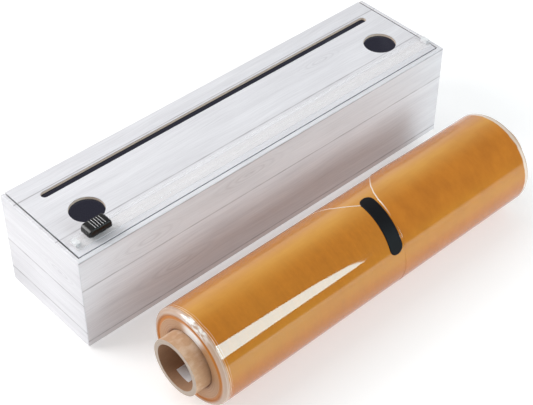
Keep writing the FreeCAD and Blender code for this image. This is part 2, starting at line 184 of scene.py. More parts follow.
def printed_planks():
    s = Shader("printed_planks")
    sheet = s.add("UVMap", uv_map="sheet")
    split = s.add("SeparateXYZ", {0: sheet}).node.outputs
    u, v = split[0], split[1]
    drift = s.noise(s.stretch(sheet, (0.011, 0.02, 1)), detail=2)
    bent = s.calc("ADD", v, s.calc("MULTIPLY", s.calc("SUBTRACT", drift, 0.5), 9.0))
    knot_dark = 0.0
    for along, across, half_u, half_v in KNOTS:
        du = s.calc("DIVIDE", s.calc("SUBTRACT", u, along), half_u)
        dv = s.calc("SUBTRACT", v, across)
        near = s.bell(du)
        fall = s.calc("EXPONENT", s.calc("DIVIDE", s.calc("ABSOLUTE", dv), -half_v * 1.6))
        push = s.product(near, fall, s.product(s.calc("SIGN", dv), -half_v))
        bent = s.calc("ADD", bent, push)
        dw = s.calc("DIVIDE", dv, half_v)
        reach = s.calc("SQRT", s.calc("ADD", s.calc("MULTIPLY", du, du), s.calc("MULTIPLY", dw, dw)))
        wobble = s.calc("ADD", reach, s.calc("MULTIPLY", drift, 1.5))
        ring = s.calc("POWER", s.calc("ABSOLUTE", s.calc("SINE", s.calc("MULTIPLY", wobble, 7.0))), 5.0)
        ring = s.product(ring, s.calc("EXPONENT", s.product(reach, reach, -0.9)))
        knot_dark = s.calc("ADD", knot_dark, ring)
    grain_at = s.point(u, bent)
    fine = s.noise(s.stretch(grain_at, (0.03, 1.1, 1)), detail=5, roughness=0.65)
    broad = s.noise(s.stretch(grain_at, (0.009, 0.16, 1)), detail=3)
    blotch = s.noise(s.stretch(sheet, (0.012, 0.035, 1)), detail=3)
    crack = s.noise(s.stretch(grain_at, (0.03, 1.3, 1)), detail=3, roughness=0.65)
    crack = s.ramp(crack, (0.6, 0.0), (0.78, 1.0))
    line = 1e3
    for spot in PLANK_LINES + tuple(END_SHEET + z for z in END_LINES):
        line = s.calc("MINIMUM", line, s.calc("ABSOLUTE", s.calc("SUBTRACT", v, spot)))
    uneven = s.noise(s.stretch(sheet, (0.07, 0.3, 1)), detail=2)
    width = s.calc("ADD", 0.22, s.calc("MULTIPLY", uneven, 0.5))
    joint = s.calc("EXPONENT", s.calc("MULTIPLY", s.calc("POWER", s.calc("DIVIDE", line, width), 2.0), -1.0))
    joint = s.calc("MULTIPLY", joint, s.calc("ADD", 0.15, s.calc("MULTIPLY", uneven, 0.6)))
    shade = s.calc("MULTIPLY", s.calc("SUBTRACT", fine, 0.5), -0.42)
    shade = s.calc("ADD", shade, s.calc("MULTIPLY", s.calc("SUBTRACT", broad, 0.5), -0.30))
    shade = s.calc("ADD", shade, s.calc("MULTIPLY", s.calc("SUBTRACT", blotch, 0.5), -0.18))
    cracked = s.ramp(s.calc("DIVIDE", v, END_SHEET), (0.5, 0.22), (0.9, 0.05))
    shade = s.calc("ADD", shade, s.calc("MULTIPLY", crack, cracked))
    shade = s.calc("ADD", shade, s.calc("MULTIPLY", knot_dark, 0.16))
    shade = s.calc("ADD", s.calc("ADD", shade, joint), 0.16)
    pale, grey, dark = (0.842, 0.838, 0.866), (0.612, 0.60, 0.628), (0.17, 0.15, 0.16)
    colour = s.ramp(shade, (0.0, pale), (0.35, grey), (1.0, dark))
    fibre = s.noise(s.place((0.9, 0.9, 0.9)), detail=3)
    gloss = s.ramp(fibre, (0.3, 0.42), (0.7, 0.54))
    bump = s.bump(s.calc("ADD", s.calc("MULTIPLY", fine, -0.5), s.calc("MULTIPLY", fibre, 0.4)), 0.03)
    return s.finish(colour, gloss, Normal=bump, Specular_IOR_Level=0.4)


def fibrous(name, dark, light, scale, roughness=0.9, depth=0.12, glow=(0.0, 0.0, 0.0)):
    """Raw board or card: short fibres and specks of two colours, with a faint glow if given, which is painted
    light.
    """
    s = Shader(name)
    fibres = s.noise(s.place(scale), detail=6, roughness=0.7)
    specks = s.noise(s.place((0.9, 0.9, 0.9)), detail=4)
    colour = s.mix(s.ramp(fibres, (0.32, 0.0), (0.68, 1.0)), dark, light)
    colour = s.mix(s.ramp(specks, (0.35, 0.25), (0.6, 0.0)), colour, tuple(c * 0.6 for c in dark))
    bump = s.bump(fibres, depth)
    return s.finish(colour, roughness, Normal=bump, Specular_IOR_Level=0.2, Emission_Color=(*glow, 1.0),
                    Emission_Strength=1.0)


def lid_board_look():
    """Greyboard whose cut edge is near black over its lower part."""
    s = Shader("lid_greyboard")
    fibres = s.noise(s.place((1.3, 1.3, 3.0)), detail=6, roughness=0.7)
    colour = s.mix(s.ramp(fibres, (0.32, 0.0), (0.68, 1.0)), (0.60, 0.48, 0.39), (0.90, 0.77, 0.65))
    z = s.add("SeparateXYZ", {0: s.place((1, 1, 1))}).node.outputs[2]
    board_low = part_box("lid_board")[0].z / MM
    depth = s.calc("SUBTRACT", z, s.calc("ADD", board_low, s.calc("MULTIPLY", fibres, 0.5)))
    # The cut edge turns near black over its lowest part.
    darker_low_edge = s.ramp(s.calc("DIVIDE", depth, 3.0), (0.22, 1.0), (0.34, 0.0))
    colour = s.mix(darker_low_edge, colour, (0.05, 0.05, 0.06))
    return s.finish(colour, 0.9, Normal=s.bump(fibres, 0.12), Specular_IOR_Level=0.2)


def about_roll(s):
    """The place along the roll, the angle round it and the distance from its axis, in mm and radians."""
    x, y, z = s.add("SeparateXYZ", {0: s.place((1, 1, 1))}).node.outputs[:3]
    dy = s.calc("SUBTRACT", y, ROLL.y / MM)
    dz = s.calc("SUBTRACT", z, ROLL.z / MM)
    radius = s.calc("SQRT", s.calc("ADD", s.calc("MULTIPLY", dy, dy), s.calc("MULTIPLY", dz, dz)))
    return x, s.calc("ARCTAN2", dz, dy), radius


def kraft_core():
    """Brown board wound in a spiral, with its seams and fibres, and grey plies on the cut ends."""
    s = Shader("kraft_core")
    x, angle, radius = about_roll(s)
    turn = s.calc("FRACT", s.calc("ADD", s.calc("DIVIDE", x, 70.0), s.calc("DIVIDE", angle, 2 * math.pi)))
    seam = s.ramp(s.calc("ABSOLUTE", s.calc("SUBTRACT", turn, 0.5)), (0.0, 1.0), (0.008, 0.0))
    fibres = s.noise(s.place((0.25, 1.6, 1.6)), detail=6, roughness=0.7)
    colour = s.mix(fibres, (0.44, 0.25, 0.135), (0.62, 0.39, 0.235))
    mottle = s.noise(s.place((0.11, 0.16, 0.16)), detail=3)
    colour = s.mix(s.ramp(mottle, (0.48, 0.0), (0.68, 0.55)), colour, (0.70, 0.54, 0.41))
    colour = s.mix(s.calc("MULTIPLY", seam, 0.5), colour, (0.25, 0.13, 0.06))
    facing = s.add("SeparateXYZ", {0: s.add("NewGeometry", output="Normal")}).node.outputs[0]
    cut = s.ramp(s.calc("ABSOLUTE", facing), (0.6, 0.0), (0.9, 1.0))
    plies = s.noise(s.point(s.calc("MULTIPLY", radius, 3.0), angle), detail=4)
    colour = s.mix(cut, colour, s.mix(plies, (0.36, 0.28, 0.22), (0.60, 0.50, 0.42)))
    # Painted shade: the bore is coloured darker than the outside of the tube.
    painted_bore_shade = s.calc("MULTIPLY", s.calc("LESS_THAN", radius, BORE_R + 0.3), s.calc("SUBTRACT", 1.0, cut))
    colour = s.mix(painted_bore_shade, colour, s.mix(fibres, (0.34, 0.18, 0.10), (0.50, 0.30, 0.18)))
    bump = s.bump(s.calc("SUBTRACT", fibres, seam), 0.08)
    return s.finish(colour, 0.75, Normal=bump, Specular_IOR_Level=0.3)


def clear_plastic(name, tint, thin, grazing, roughness):
    """Clear plastic, milky with draw lines along it, that shows more where it is seen edge on."""
    s = Shader(name)
    draw = s.noise(s.place((0.006, 1.6, 1.6)), detail=4, roughness=0.6)
    edge = s.add("LayerWeight", {"Blend": 0.35}, output=1)
    cover = s.calc("ADD", s.calc("MULTIPLY", edge, grazing), s.ramp(draw, (0.42, thin), (0.68, thin * 1.7)))
    gloss = s.ramp(draw, (0.3, roughness), (0.7, roughness * 2.0))
    return s.finish(tint, gloss, Alpha=cover, Normal=s.bump(draw, 0.012), Coat_Weight=0.6,
                    Coat_Roughness=0.05)


def moulded(name, colour, roughness, grain=0.02, shine=0.5):
    """Moulded plastic or rubber: a fine spark-eroded grain and slight rub marks."""
    s = Shader(name)
    fine = s.noise(s.place((4.5, 4.5, 4.5)), detail=2)
    rub = s.noise(s.place((0.35, 0.7, 0.7)), detail=4)
    tint = s.mix(s.ramp(rub, (0.45, 0.0), (0.75, 0.35)), colour, tuple(c * 1.6 + 0.004 for c in colour))
    gloss = s.ramp(rub, (0.3, roughness), (0.7, roughness + 0.12))
    return s.finish(tint, gloss, Normal=s.bump(fine, grain), Specular_IOR_Level=shine)


def brushed_steel():
    s = Shader("brushed_steel")
    scratch = s.noise(s.place((0.4, 8.0, 8.0)), detail=4)
    return s.finish((0.62, 0.63, 0.65), s.ramp(scratch, (0.3, 0.22), (0.7, 0.4)), Metallic=1.0,
                    Normal=s.bump(scratch, 0.01))


def lit_amber(s, colour):
    """Painted light and shade on the amber by the world direction a surface faces: lighter and yellower
    facing up and facing the front, deeper facing down.
    """
    normal = s.add("SeparateXYZ", {0: s.add("NewGeometry", output="Normal")}).node.outputs
    tilt = s.calc("ARCTAN2", normal[2], s.calc("MULTIPLY", normal[1], -1.0))
    wisp = s.noise(s.place((0.012, 0.05, 0.05)), detail=4, roughness=0.6)
    # Painted light where the surface faces up.
    top = s.bell(s.offset(tilt, 1.70, 0.27))
    top = s.calc("MULTIPLY", top, s.ramp(wisp, (0.3, 0.45), (0.6, 1.0)))
    colour = s.mix(top, colour, (0.66, 0.310, 0.034))
    # Painted light where the surface faces the front.
    front = s.bell(s.offset(tilt, 0.33, 0.24))
    front = s.calc("MULTIPLY", front, s.ramp(wisp, (0.3, 0.3), (0.6, 0.7)))
    colour = s.mix(front, colour, (0.55, 0.24, 0.012))
    # Painted shade where the surface faces down.
    below = s.ramp(s.calc("ADD", s.calc("MULTIPLY", tilt, -1.0), 0.2), (0.0, 0.0), (0.5, 0.8))
    return s.mix(below, colour, (0.40, 0.10, 0.001))


# Thin pale threads round the roll near its ends: distance from the middle, half width and strength.
EDGE_THREADS = ((145.1, 0.22, 0.9), (143.6, 0.18, 0.45), (147.4, 0.25, 0.5))


def wound_film():
    """Amber film in bulk under a clear glossy skin, with faint bands round the roll and pale ends."""
    s = Shader("wound_film")
    x, angle, radius = about_roll(s)
    bands = s.noise(s.point(s.calc("MULTIPLY", x, 0.12)), detail=5, roughness=0.6)
    cloud = s.noise(s.place((0.012, 0.03, 0.03)), detail=3)
    mottle = s.noise(s.point(s.calc("MULTIPLY", x, 0.45), s.calc("MULTIPLY", angle, 9.0)), detail=4)
    bands = s.calc("ADD", s.calc("MULTIPLY", bands, 0.65), s.calc("MULTIPLY", mottle, 0.35))
    colour = s.mix(s.ramp(bands, (0.36, 0.0), (0.64, 1.0)), (0.44, 0.143, 0.002), (0.54, 0.177, 0.004))
    colour = s.mix(s.ramp(cloud, (0.35, 0.0), (0.7, 0.4)), colour, (0.54, 0.20, 0.010))
    colour = lit_amber(s, colour)
    # The ends: fine rings of film edges, pale and clear, with one amber ring between them.
    rings = s.noise(s.point(s.calc("MULTIPLY", radius, 1.9), 3.0), detail=5, roughness=0.7)
    face = s.ramp(rings, (0.32, (0.36, 0.15, 0.045)), (0.52, (0.50, 0.27, 0.13)), (0.70, (0.62, 0.42, 0.27)))
    shoulder = s.ramp(s.calc("DIVIDE", s.calc("SUBTRACT", radius, 32.0), 2.0), (0.0, 0.0), (1.0, 1.0))
    clear = s.mix(rings, (0.42, 0.22, 0.11), (0.66, 0.50, 0.40))
    face = s.mix(shoulder, face, clear)
    amber = s.plateau(s.offset(radius, 31.2, 1.6))
    # A painted highlight near the top of the left end only, on the flat face and, broken up by creases, on
    # the shoulder.
    around = s.plateau(s.offset(angle, 1.76, 0.34))
    around = s.calc("MULTIPLY", around, s.calc("LESS_THAN", x, 0.0))
    creases = s.noise(s.point(s.calc("MULTIPLY", radius, 0.9), s.calc("MULTIPLY", angle, 7.0), 9.0))
    painted_face_highlight = s.calc("MULTIPLY", around, s.calc("SUBTRACT", 1.0, shoulder))
    face = s.mix(s.calc("MULTIPLY", painted_face_highlight, s.ramp(rings, (0.3, 0.8), (0.6, 1.0))), face, (0.97, 0.95, 0.93))
    gleam = s.product(around, shoulder, s.ramp(creases, (0.42, 0.0), (0.56, 0.9)))
    face = s.mix(gleam, face, (0.95, 0.93, 0.91))
    face = s.mix(amber, face, (0.52, 0.165, 0.004))
    # Painted shade: a dark ring where the film's end meets the core.
    painted_core_shade = s.bell(s.offset(radius, 21.3, 1.1))
    face = s.mix(s.calc("MULTIPLY", painted_core_shade, 0.75), face, (0.16, 0.05, 0.012))
    far = s.calc("ABSOLUTE", x)
    crinkle = s.noise(s.point(s.calc("MULTIPLY", x, 0.5), s.calc("MULTIPLY", angle, 3.0)))
    edge_at = s.calc("ADD", far, s.calc("MULTIPLY", s.calc("SUBTRACT", crinkle, 0.5), 1.6))
    end = s.add("MapRange", {0: edge_at, 1: 145.4, 2: 146.4}, interpolation_type="SMOOTHSTEP")
    colour = s.mix(end, colour, face)
    thread = 0.0
    for place, width, strength in EDGE_THREADS:
        ridge = s.bell(s.offset(edge_at, place, width))
        thread = s.calc("ADD", thread, s.calc("MULTIPLY", ridge, strength))
    broken = s.noise(s.point(s.calc("MULTIPLY", x, 0.2), s.calc("MULTIPLY", angle, 1.7), 5.0))
    thread = s.calc("MULTIPLY", thread, s.ramp(broken, (0.35, 0.25), (0.6, 1.0)))
    colour = s.mix(thread, colour, (0.90, 0.80, 0.70))
    pleats = s.noise(s.point(s.calc("MULTIPLY", x, 1.2), s.calc("MULTIPLY", angle, 16.0)), detail=3)
    relief = s.calc("ADD", s.calc("MULTIPLY", rings, end), s.calc("MULTIPLY", thread, 0.3))
    relief = s.calc("ADD", relief, s.product(pleats, shoulder, end))
    grooves = s.bump(relief, 0.22)
    gloss = s.calc("ADD", 0.13, s.calc("MULTIPLY", end, 0.32))
    outward = s.point(0.0, s.calc("COSINE", angle), s.calc("SINE", angle))
    flat = s.calc("MULTIPLY", end, s.calc("SUBTRACT", 1.0, s.calc("MULTIPLY", shoulder, 0.7)))
    coat = s.calc("SUBTRACT", 1.0, s.calc("MULTIPLY", flat, 0.9))
    return s.finish(colour, gloss, Normal=grooves, Specular_IOR_Level=s.calc("MULTIPLY", end, 0.3),
                    Anisotropic=s.calc("MULTIPLY", end, 0.9), Tangent=outward, Coat_Weight=coat,
                    Coat_Roughness=0.04, Coat_IOR=1.7, Coat_Normal=s.bump(relief, 0.10, end))


def loose_film():
    """One turn of the film, with a painted highlight along its cut edge and a painted reflection at the back,
    pale at the end of the roll.
    """
    s = Shader("loose_film")
    cloud = s.noise(s.place((0.09, 0.05, 0.05)), detail=5, roughness=0.6)
    colour = s.mix(s.ramp(cloud, (0.35, 0.0), (0.65, 1.0)), (0.46, 0.142, 0.002), (0.55, 0.178, 0.005))
    colour = lit_amber(s, colour)
    edge, strength = s.add("SeparateXYZ", {0: s.add("UVMap", uv_map="edge")}).node.outputs[:2]
    # Painted highlight along the cut edge, where it can be seen.
    painted_edge_highlight = s.calc("MULTIPLY", s.ramp(s.calc("MULTIPLY", edge, 0.5), (0.30, 1.0), (0.55, 0.0)), strength)
    x, angle, radius = about_roll(s)
    crinkle = s.noise(s.place((0.3, 0.12, 0.12)), detail=3)
    reach = s.calc("ADD", x, s.calc("MULTIPLY", s.calc("SUBTRACT", crinkle, 0.5), 3.0))
    rim = s.ramp(s.calc("DIVIDE", s.calc("SUBTRACT", reach, 142.0), 4.0), (0.35, 0.0), (0.6, 0.85))
    # A painted reflection: a pale zone at the back of the roll stands for the box's reflection there; it
    # turns with the roll.
    back = s.calc("ADD", s.calc("ABSOLUTE", angle), s.calc("MULTIPLY", crinkle, 0.25))
    back = s.ramp(back, (0.70, 0.8), (1.0, 0.0))
    back = s.calc("MULTIPLY", back, s.ramp(s.calc("MULTIPLY", edge, 0.03), (0.1, 0.0), (0.9, 1.0)))
    colour = s.mix(back, colour, (0.78, 0.68, 0.62))
    colour = s.mix(s.calc("MAXIMUM", painted_edge_highlight, rim), colour, (0.85, 0.73, 0.60))
    return s.finish(colour, 0.14, Specular_IOR_Level=0.0, Coat_Weight=1.0, Coat_Roughness=0.05, Coat_IOR=1.7)


def plain_label(name, colour):
    s = Shader(name)
    fine = s.noise(s.place((1.5, 1.5, 1.5)), detail=3)
    colour = s.mix(fine, colour, tuple(c * 1.15 + 0.002 for c in colour))
    return s.finish(colour, 0.55, Normal=s.bump(fine, 0.02), Specular_IOR_Level=0.12)


PLANKS = printed_planks()
LID_BOARD = lid_board_look()
GREYBOARD = fibrous("greyboard", (0.27, 0.20, 0.14), (0.52, 0.42, 0.31), (1.3, 1.3, 3.0))
# The charcoal card's faint glow is painted light in the unlit slot and finger holes.
CHARCOAL = fibrous("charcoal_card", (0.075, 0.075, 0.095), (0.125, 0.125, 0.150), (1.8, 1.8, 1.8), 0.85, 0.04,
                   glow=(0.024, 0.024, 0.034))
CLEAR = clear_plastic("clear_plastic", (0.98, 0.975, 0.985), 0.03, 0.09, 0.08)
TAPE = plain_label("double_sided_tape", (0.70, 0.68, 0.69))
MILKY = moulded("milky_plastic", (0.78, 0.79, 0.80), 0.25)
PAPER = fibrous("plain_paper", (0.70, 0.70, 0.70), (0.80, 0.80, 0.80), (0.8, 0.8, 0.8), 0.7, 0.02)
# The ribs' light grey is a painted highlight along them.
RIB_HIGHLIGHT = moulded("painted_rib_highlight", (0.72, 0.72, 0.73), 0.4)
BLACK = moulded("black_plastic", (0.002, 0.002, 0.0022), 0.24, 0.008, 0.34)
RUBBER = moulded("foot_rubber", (0.02, 0.02, 0.02), 0.7, 0.05)
STEEL = brushed_steel()
KRAFT = kraft_core()
FILM = wound_film()
LOOSE = loose_film()
LABEL = plain_label("black_label", (0.004, 0.004, 0.005))
STICKER = plain_label("white_label", (0.84, 0.84, 0.86))

NODE_MATERIALS = {
    PLANKS: ("box_wrap", "lid_cover", "hinge_paper"),
    PAPER: ("base_paper",),
    GREYBOARD: ("base_board", "front_wall", "back_wall", "left_end_wall", "right_end_wall"),
    LID_BOARD: ("lid_board",),
    CHARCOAL: ("liner_floor", "liner_front", "liner_back", "liner_left", "liner_right", "lid_lining"),
    RUBBER: ("rubber_feet",),
    TAPE: ("track_tape",),
    MILKY: ("track_stop_left", "track_stop_right"),
    CLEAR: ("cutter_track",),
    BLACK: ("slider_cap", "slider_foot"),
    STEEL: ("cutter_blade",),
    KRAFT: ("core_tube",),
    FILM: ("wound_film",),
    LOOSE: ("film_tail",),
    LABEL: ("start_label",),
    STICKER: ("core_sticker",),
}
for material, names in NODE_MATERIALS.items():
    for name in names:
        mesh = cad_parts[name].data
        mesh.materials.clear()
        mesh.materials.append(material)


# ---------------------------------------------------------------- pieces


def piece(name, bm, material, body, replaced, origin, smooth=True):
    """Turns mesh code in mm about an origin into a piece that rides on a body."""
    for vertex in bm.verts:
        vertex.co = origin + vertex.co * MM
    mesh = bpy.data.meshes.new(name)
    bm.to_mesh(mesh)
    bm.free()
    mesh.polygons.foreach_set("use_smooth", [smooth] * len(mesh.polygons))
    mesh.materials.append(material)
    thing = bpy.data.objects.new(name, mesh)
    bpy.context.scene.collection.objects.link(thing)
    if body:
        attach(thing, body)
    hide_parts(*replaced)
    return thing


def quad(bm, *corners):
    return bm.faces.new([bm.verts.new(c) for c in corners])


def sheet_coordinates(bm):
    """Lays the printed sheet over the faces: one sheet over front, top and back, another over the ends."""
    layer = bm.loops.layers.uv.new("sheet")
    bm.normal_update()
    for face in bm.faces:
        end = abs(face.normal.x) > 0.71
        for loop in face.loops:
            x, y, z = loop.vert.co
            fold = y - (TOP - z) if y < 0 else y + (TOP - z)
            loop[layer].uv = (y, END_SHEET + z) if end else (x, fold)


def solidify(thing, thickness):
    modifier = thing.modifiers.new("paper", "SOLIDIFY")
    modifier.thickness = thickness * MM
    modifier.offset = -1
    modifier.use_even_offset = True
    thing.modifiers.new("smoothing", "WEIGHTED_NORMAL").keep_sharp = True


def make_box_wrap():
    bm = bmesh.new()
    X, Y = HALF_X, HALF_Y
    rim = RIM
    ix, iy = X - 3.1, -(Y - 3.9)
    border = 15.0
    hinge_z = HINGE_LOW
    hx = HINGE_HALF
    faces = [
        [(-X, -Y, 0), (X, -Y, 0), (X, -Y, TOP), (-X, -Y, TOP)],
        [(-X, -Y, TOP), (X, -Y, TOP), (ix, iy, TOP), (-ix, iy, TOP)],
        [(-ix, iy, TOP), (ix, iy, TOP), (ix, iy, rim), (-ix, iy, rim)],
        [(-X, Y, 0), (-X, -Y, 0), (-X, -Y, TOP), (-X, Y, TOP)],
        [(X, -Y, 0), (X, Y, 0), (X, Y, TOP), (X, -Y, TOP)],
        [(-X, Y, TOP), (-X, -Y, TOP), (-ix, iy, TOP), (-ix, Y, TOP)],
        [(X, -Y, TOP), (X, Y, TOP), (ix, Y, TOP), (ix, iy, TOP)],
        [(-ix, Y, TOP), (-ix, iy, TOP), (-ix, iy, rim), (-ix, Y, rim)],
        [(ix, iy, TOP), (ix, Y, TOP), (ix, Y, rim), (ix, iy, rim)],
        [(X, Y, 0), (-X, Y, 0), (-X, Y, hinge_z), (-hx, Y, hinge_z), (hx, Y, hinge_z), (X, Y, hinge_z)],
        [(-X, Y, hinge_z), (-X, Y, TOP), (-ix, Y, TOP), (-ix, Y, rim), (-hx, Y, rim), (-hx, Y, hinge_z)],
        [(X, Y, hinge_z), (hx, Y, hinge_z), (hx, Y, rim), (ix, Y, rim), (ix, Y, TOP), (X, Y, TOP)],
        [(-X, -Y, 0), (-X + border, -Y + border, 0), (X - border, -Y + border, 0), (X, -Y, 0)],
        [(X, -Y, 0), (X - border, -Y + border, 0), (X - border, Y - border, 0), (X, Y, 0)],
        [(X, Y, 0), (X - border, Y - border, 0), (-X + border, Y - border, 0), (-X, Y, 0)],
        [(-X, Y, 0), (-X + border, Y - border, 0), (-X + border, -Y + border, 0), (-X, -Y, 0)],
    ]
    for corners in faces:
        quad(bm, *corners)
    bmesh.ops.remove_doubles(bm, verts=bm.verts, dist=0.001)
    bmesh.ops.recalc_face_normals(bm, faces=bm.faces)
    bm.normal_update()
    folds = [e for e in bm.edges if len(e.link_faces) == 2 and e.calc_face_angle(0) > 1.0]
    bmesh.ops.bevel(bm, geom=folds, offset=0.8, segments=4, profile=0.5, affect="EDGES", clamp_overlap=True)
    sheet_coordinates(bm)
    # The rim's inner faces below the top take the charcoal card, a dark sheet that stands for the shadow in
    # the gap round the lid: painted shade.
    for face in bm.faces:
        x, y, z = face.calc_center_median()
        side = abs(abs(x) - ix) < 0.05 and abs(face.normal.x) > 0.9
        front = abs(y - iy) < 0.05 and abs(face.normal.y) > 0.9
        if z < TOP - 0.5 and (side or front):
            face.material_index = 1
    thing = piece("printed_box_paper", bm, PLANKS, "box", ["box_wrap"], BOX)
    thing.data.materials.append(CHARCOAL)
    solidify(thing, SHEET_THICKNESS)


make_box_wrap()


def rows_to_faces(bm, rows, closed=False):
    """Quads between rows of vertices; closed joins each row's last vertex to its first."""
    for near, far in zip(rows, rows[1:]):
        count = len(near)
        for index in range(count if closed else count - 1):
            following = (index + 1) % count
            bm.faces.new((near[index], near[following], far[following], far[index]))


def rows_of(bm, points):
    return [[bm.verts.new(point) for point in row] for row in points]


def shell(bm, outer, inner):
    """A closed thin sheet between two grids of points of the same size."""
    top, under = rows_of(bm, outer), rows_of(bm, inner)
    rows_to_faces(bm, top)
    rows_to_faces(bm, [row[::-1] for row in under])
    rim = [list(side) for side in (zip(top[0], under[0]), zip(top[-1], under[-1]))]
    ends = [[(a[0], b[0]) for a, b in zip(top, under)], [(a[-1], b[-1]) for a, b in zip(top, under)]]
    for strip in rim + ends:
        for (a, b), (c, d) in zip(strip, strip[1:]):
            bm.faces.new((a, b, d, c))
    bmesh.ops.recalc_face_normals(bm, faces=bm.faces)
    return top + under


def ring_points(middle_x, middle_y, radius, count, z, start=0.0, sweep=2 * math.pi):
    angles = [start + sweep * i / count for i in range(count)]
    return [(middle_x + radius * math.cos(a), middle_y + radius * math.sin(a), z) for a in angles]


def make_lid_cover():
    """The printed sheet on the lid, with its slot and finger holes and its edges folded down."""
    bm = bmesh.new()
    x_out, y_front, y_back = 171.1, -39.8, HALF_Y
    fold, low = 0.45, 77.4
    angles = [i * math.pi / 12 for i in range(7)]
    levels = [(fold * (1 - math.sin(a)), -fold * (1 - math.cos(a))) for a in angles]
    rows = []
    for inset, drop in levels + [(0.0, low - TOP)]:
        x, y = x_out - inset, y_front + inset
        path = [(-x, y_back), (-x, y), (x, y), (x, y_back)]
        rows.append([bm.verts.new((px, py, TOP + drop)) for px, py in path])
    rows_to_faces(bm, rows)
    loops = [rows[0]]
    shift, slot_y, slot_r, slot_reach = 1.5, 24.6, 3.2, 153.6
    slot = ring_points(shift + slot_reach, slot_y, slot_r, 16, TOP, -math.pi / 2, math.pi)
    slot += [(shift + slot_reach, slot_y + slot_r, TOP)]
    slot += ring_points(shift - slot_reach, slot_y, slot_r, 16, TOP, math.pi / 2, math.pi)
    slot += [(shift - slot_reach, slot_y - slot_r, TOP)]
    hole_reach, hole_y, hole_r = 141.5, -6.6, 12.7
    holes = [ring_points(shift + side * hole_reach, hole_y, hole_r, 72, TOP) for side in (-1, 1)]
    for points in [slot] + holes:
        loops.append([bm.verts.new(point) for point in points])
    edges = []
    for loop in loops:
        for a, b in zip(loop, loop[1:] + loop[:1]):
            edges.append(bm.edges.get((a, b)) or bm.edges.new((a, b)))
    bmesh.ops.triangle_fill(bm, use_beauty=True, edges=edges, normal=(0, 0, 1))
    bmesh.ops.recalc_face_normals(bm, faces=bm.faces)
    bm.normal_update()
    if max(bm.faces, key=lambda f: f.calc_area()).normal.z < 0:
        bmesh.ops.reverse_faces(bm, faces=bm.faces)
    sheet_coordinates(bm)
    thing = piece("printed_lid_paper", bm, PLANKS, "lid", ["lid_cover"], BOX)
    solidify(thing, SHEET_THICKNESS)


def make_hinge():
    """The strip of printed paper over the hinge, which on the real box bends as the lid opens; here it is a
    flat strip fixed in place.
    """
    bm = bmesh.new()
    high, thickness = 80.95, 0.28
    levels = [HINGE_LOW + i * (high - HINGE_LOW) / 30 for i in range(31)]
    across = [-HINGE_HALF + i * (2 * HINGE_HALF) / 24 for i in range(25)]
    outer = [[(x, HALF_Y, z) for x in across] for z in levels]
    inner = [[(x, HALF_Y - thickness, z) for x in across] for z in levels]
    shell(bm, outer, inner)
    sheet_coordinates(bm)
    strip = piece("printed_hinge_paper", bm, PLANKS, None, ["hinge_paper"], BOX,
                  smooth=False)
    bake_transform(strip)


def make_track():
    """The clear track as one thin skin: a base and two rails whose lips reach over the channel."""
    middle_y = (track_low.y + track_high.y) / 2
    half, base, rail, channel, gap = 6.6, 1.1, 5.1, 2.8, 1.6
    high, lip, rounding = (track_high.z - track_low.z) / MM, 1.0, 0.8
    right = [(channel, base), (channel, high - lip), (gap, high - lip), (gap, high)]
    for i in range(7):
        a = math.pi / 2 * (1 - i / 6)
        right.append((rail - rounding + rounding * math.cos(a), high - rounding + rounding * math.sin(a)))
    right += [(rail, base), (half, base), (half, 0.0)]
    section = [(-y, z) for y, z in reversed(right)] + right
    bm = bmesh.new()
    x_low, x_high = track_low.x / MM, track_high.x / MM
    stations = [x_low + (x_high - x_low) * i / 40 for i in range(41)]
    rows = [[bm.verts.new((x, y, z)) for y, z in section] for x in stations]
    rows_to_faces(bm, rows)
    for row in (rows[0], rows[-1]):
        bm.faces.new(row)
    bmesh.ops.recalc_face_normals(bm, faces=bm.faces)
    origin = Vector((0.0, middle_y, track_low.z))
    piece("cutter_track_rails", bm, CLEAR, "lid", ["cutter_track"], origin, smooth=False)


